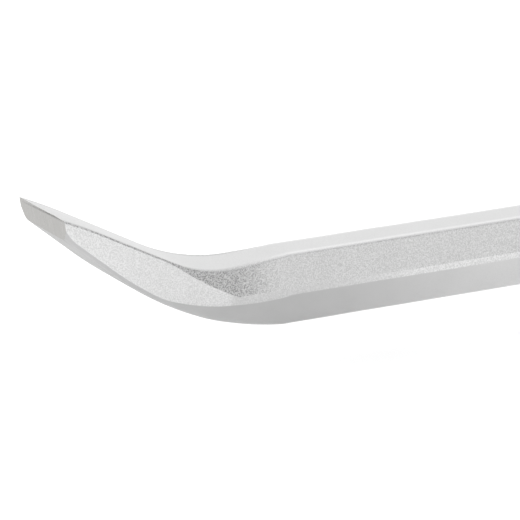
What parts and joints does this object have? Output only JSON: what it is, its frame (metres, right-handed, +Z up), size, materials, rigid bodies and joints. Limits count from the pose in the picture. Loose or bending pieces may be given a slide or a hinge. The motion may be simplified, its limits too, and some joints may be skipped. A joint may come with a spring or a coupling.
{
  "type": "pry bar",
  "caption": "Forged steel pry bar with a bent, flared chisel blade, a drafted hexagonal shank and a struck handle with a soft sleeve and a steel cap.",
  "frame": {"origin": "under the middle of the bar's bounding box, level with the underside of the handle", "axes": "+X along the shank from the blade to the strike cap, +Z up, the way the blade's bend rises; Y across"},
  "size_m": [0.45, 0.034, 0.0397],
  "materials": {
    "plated_bar": "shot-blasted forging with a pale satin plating",
    "collar_steel": "turned, satin",
    "cap_steel": "hardened, fine ground",
    "pin_steel": "plain",
    "buffer": "matt",
    "core_plastic": "moulded, fine spark texture",
    "grip_soft": "moulded elastomer, matt, grooved",
    "band_plastic": "moulded, semi-gloss"
  },
  "bodies": {
    "root": {"forged_bar": "plated_bar", "bolster_collar": "collar_steel", "buffer_washer": "buffer", "handle_core": "core_plastic", "grip_sleeve": "grip_soft", "size_band": "band_plastic", "tang_pin_front": "pin_steel", "tang_pin_rear": "pin_steel", "cap_washer": "collar_steel", "strike_cap": "cap_steel", "cap_pin": "pin_steel"}
  },
  "joints": []
}
